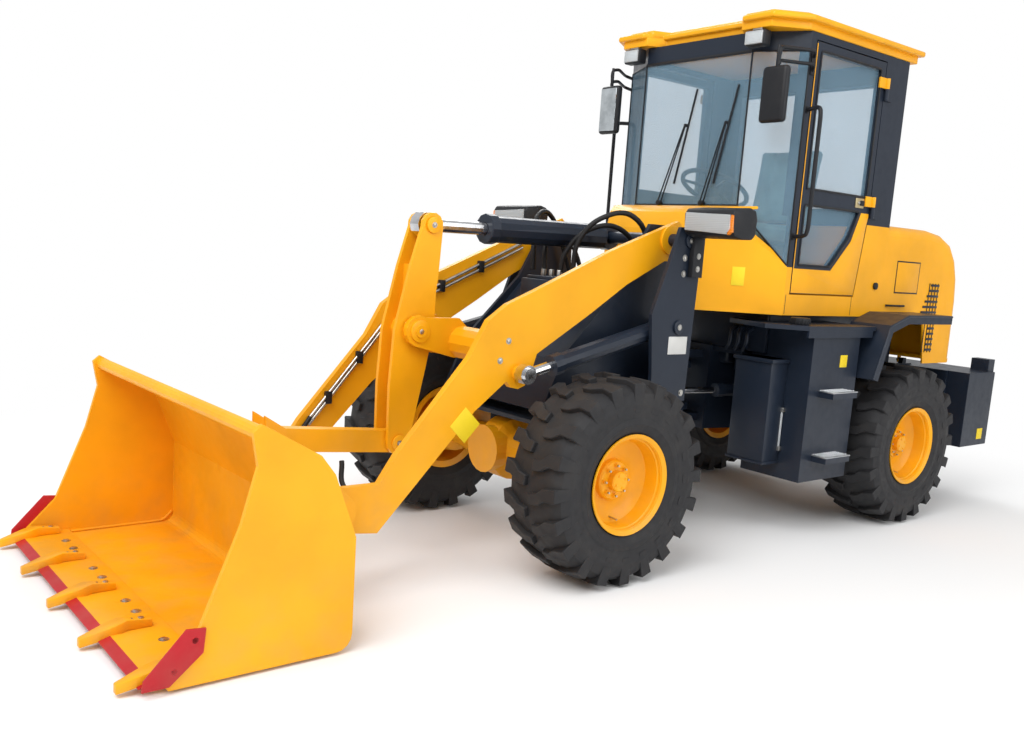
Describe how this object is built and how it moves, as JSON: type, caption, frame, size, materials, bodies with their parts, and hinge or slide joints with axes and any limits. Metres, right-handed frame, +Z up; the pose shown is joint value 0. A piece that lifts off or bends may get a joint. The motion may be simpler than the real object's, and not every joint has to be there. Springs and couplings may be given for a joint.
{
  "type": "compact articulated wheel loader",
  "caption": "Compact wheel loader with a centre hinge, bucket on a lifting boom, tilting linkage, closed cab, side tanks and a rear-hinged hood.",
  "frame": {"origin": "middle of the footprint, on the ground", "axes": "-Y is the machine's front, +X its left side, +Z up"},
  "size_m": [1.77, 5.703, 2.7],
  "materials": {
    "paint_orange": "gloss paint",
    "paint_navy": "satin paint",
    "tyre": "moulded rubber",
    "rod_chrome": "polished",
    "edge_red": "satin paint",
    "window_glass": "clear, faint blue tint",
    "dark_plastic": "matte",
    "seat_fabric": "woven, under a clear film",
    "cast_navy": "satin paint"
  },
  "bodies": {
    "rear_module": {"rear_axle": "paint_orange", "rear_frame": "paint_navy", "engine_block": "cast_navy", "counterweight": "cast_navy", "left_fuel_tank": "paint_navy", "right_hydraulic_tank": "paint_navy", "rear_fender_left": "paint_navy", "rear_fender_right": "paint_navy", "cab_lower_body": "paint_orange", "cab_frame": "paint_navy", "cab_roof": "paint_orange", "windscreen": "window_glass", "rear_window": "window_glass", "seat": "seat_fabric", "steering_column": "dark_plastic", "steering_wheel": "dark_plastic", "mirror_left": "dark_plastic", "mirror_right": "dark_plastic", "roof_lamp_left": "dark_plastic", "roof_lamp_right": "dark_plastic"},
    "front_module": {"front_axle": "paint_orange", "front_frame": "paint_navy", "headlamp_left": "dark_plastic", "headlamp_right": "dark_plastic"},
    "boom": {"boom": "paint_orange"},
    "bellcrank": {"bellcrank": "paint_orange"},
    "dump_link": {"dump_link": "paint_orange"},
    "bucket": {"bucket": "paint_orange", "cutting_edge": "edge_red", "quick_hitch": "paint_orange"},
    "hood": {"hood": "paint_orange"},
    "front_left_wheel": {"front_left_tyre": "tyre", "front_left_rim": "paint_orange"},
    "front_right_wheel": {"front_right_tyre": "tyre", "front_right_rim": "paint_orange"},
    "rear_left_wheel": {"rear_left_tyre": "tyre", "rear_left_rim": "paint_orange"},
    "rear_right_wheel": {"rear_right_tyre": "tyre", "rear_right_rim": "paint_orange"},
    "left_door": {"left_door": "paint_navy", "left_door_glass": "window_glass"},
    "right_door": {"right_door": "paint_navy", "right_door_glass": "window_glass"},
    "lift_cylinder_left_barrel": {"lift_cylinder_left_barrel": "paint_navy"},
    "lift_cylinder_left_rod": {"lift_cylinder_left_rod": "rod_chrome"},
    "lift_cylinder_right_barrel": {"lift_cylinder_right_barrel": "paint_navy"},
    "lift_cylinder_right_rod": {"lift_cylinder_right_rod": "rod_chrome"},
    "tilt_cylinder_barrel": {"tilt_cylinder_barrel": "paint_navy"},
    "tilt_cylinder_rod": {"tilt_cylinder_rod": "rod_chrome"},
    "steering_cylinder_left_barrel": {"steering_cylinder_left_barrel": "paint_navy"},
    "steering_cylinder_left_rod": {"steering_cylinder_left_rod": "rod_chrome"},
    "steering_cylinder_right_barrel": {"steering_cylinder_right_barrel": "paint_navy"},
    "steering_cylinder_right_rod": {"steering_cylinder_right_rod": "rod_chrome"}
  },
  "joints": [
    {"name": "articulation", "type": "hinge", "parent": "rear_module", "child": "front_module", "pos_m": [0, 0.4515, 0.74], "axis": [0, 0, 1], "range_deg": [-35, 35]},
    {"name": "front_left_wheel_spin", "type": "hinge", "parent": "front_module", "child": "front_left_wheel", "pos_m": [0.7, -0.7085, 0.462], "axis": [1, 0, 0], "continuous": true},
    {"name": "front_right_wheel_spin", "type": "hinge", "parent": "front_module", "child": "front_right_wheel", "pos_m": [-0.7, -0.7085, 0.462], "axis": [1, 0, 0], "continuous": true},
    {"name": "rear_left_wheel_spin", "type": "hinge", "parent": "rear_module", "child": "rear_left_wheel", "pos_m": [0.7, 1.6115, 0.462], "axis": [1, 0, 0], "continuous": true},
    {"name": "rear_right_wheel_spin", "type": "hinge", "parent": "rear_module", "child": "rear_right_wheel", "pos_m": [-0.7, 1.6115, 0.462], "axis": [1, 0, 0], "continuous": true},
    {"name": "boom_lift", "type": "hinge", "parent": "front_module", "child": "boom", "pos_m": [0, -0.1485, 1.53], "axis": [-1, 0, 0], "range_deg": [0, 75]},
    {"name": "bucket_tilt", "type": "hinge", "parent": "boom", "child": "bucket", "pos_m": [0, -1.9085, 0.385], "axis": [-1, 0, 0], "range_deg": [-75, 40]},
    {"name": "bellcrank_swing", "type": "hinge", "parent": "boom", "child": "bellcrank", "pos_m": [0, -1.3395, 1.05], "axis": [-1, 0, 0], "range_deg": [-10.39, 19.48]},
    {"name": "dump_link_swing", "type": "hinge", "parent": "bellcrank", "child": "dump_link", "pos_m": [0, -1.3975, 0.543], "axis": [-1, 0, 0], "range_deg": [-36.36, 19.39]},
    {"name": "tilt_cylinder_swing", "type": "hinge", "parent": "boom", "child": "tilt_cylinder_barrel", "pos_m": [0, -0.1485, 1.53], "axis": [-1, 0, 0], "range_deg": [-1.99, 1.06]},
    {"name": "tilt_cylinder_stroke", "type": "slide", "parent": "tilt_cylinder_barrel", "child": "tilt_cylinder_rod", "axis": [0, -0.9999, -0.0107], "range_m": [-0.1535, 0.0819]},
    {"name": "lift_cylinder_left_swing", "type": "hinge", "parent": "front_module", "child": "lift_cylinder_left_barrel", "pos_m": [0.497, -0.1785, 1.12], "axis": [-1, 0, 0], "range_deg": [0, 71.49]},
    {"name": "lift_cylinder_left_stroke", "type": "slide", "parent": "lift_cylinder_left_barrel", "child": "lift_cylinder_left_rod", "axis": [0, -0.9706, -0.2407], "range_m": [0, 0.5071]},
    {"name": "lift_cylinder_right_swing", "type": "hinge", "parent": "front_module", "child": "lift_cylinder_right_barrel", "pos_m": [-0.497, -0.1785, 1.12], "axis": [-1, 0, 0], "range_deg": [0, 71.49]},
    {"name": "lift_cylinder_right_stroke", "type": "slide", "parent": "lift_cylinder_right_barrel", "child": "lift_cylinder_right_rod", "axis": [0, -0.9706, -0.2407], "range_m": [0, 0.5071]},
    {"name": "steering_cylinder_left_swing", "type": "hinge", "parent": "rear_module", "child": "steering_cylinder_left_barrel", "pos_m": [0.33, 0.9915, 0.74], "axis": [0, 0, 1], "range_deg": [-7.67, 7.67]},
    {"name": "steering_cylinder_left_stroke", "type": "slide", "parent": "steering_cylinder_left_barrel", "child": "steering_cylinder_left_rod", "axis": [-0.173, -0.9849, 0], "range_m": [-0.1422, 0.1422]},
    {"name": "steering_cylinder_right_swing", "type": "hinge", "parent": "rear_module", "child": "steering_cylinder_right_barrel", "pos_m": [-0.33, 0.9915, 0.74], "axis": [0, 0, 1], "range_deg": [-7.67, 7.67]},
    {"name": "steering_cylinder_right_stroke", "type": "slide", "parent": "steering_cylinder_right_barrel", "child": "steering_cylinder_right_rod", "axis": [0.173, -0.9849, 0], "range_m": [-0.1422, 0.1422]},
    {"name": "left_door_hinge", "type": "hinge", "parent": "rear_module", "child": "left_door", "pos_m": [0.632, 1.2655, 2.11], "axis": [0, 0, 1], "range_deg": [0, 80]},
    {"name": "right_door_hinge", "type": "hinge", "parent": "rear_module", "child": "right_door", "pos_m": [-0.632, 1.2655, 2.11], "axis": [0, 0, 1], "range_deg": [-80, 0]},
    {"name": "hood_hinge", "type": "hinge", "parent": "rear_module", "child": "hood", "pos_m": [0, 2.3915, 0.88], "axis": [-1, 0, 0], "range_deg": [0, 55]}
  ],
  "couplings": [
    {"joint": "bellcrank_swing", "follows": "bucket_tilt", "ratio": -0.2547},
    {"joint": "dump_link_swing", "follows": "bucket_tilt", "ratio": 0.4753},
    {"joint": "tilt_cylinder_swing", "follows": "bucket_tilt", "ratio": 0.026},
    {"joint": "tilt_cylinder_stroke", "follows": "bucket_tilt", "m_per_rad": 0.115},
    {"joint": "lift_cylinder_left_swing", "follows": "boom_lift", "ratio": 0.9345},
    {"joint": "lift_cylinder_left_stroke", "follows": "boom_lift", "m_per_rad": 0.3798},
    {"joint": "lift_cylinder_right_swing", "follows": "boom_lift", "ratio": 0.9345},
    {"joint": "lift_cylinder_right_stroke", "follows": "boom_lift", "m_per_rad": 0.3798},
    {"joint": "steering_cylinder_left_swing", "follows": "articulation", "ratio": 0.2149},
    {"joint": "steering_cylinder_left_stroke", "follows": "articulation", "m_per_rad": -0.2283},
    {"joint": "steering_cylinder_right_swing", "follows": "articulation", "ratio": 0.2149},
    {"joint": "steering_cylinder_right_stroke", "follows": "articulation", "m_per_rad": 0.2283}
  ]
}
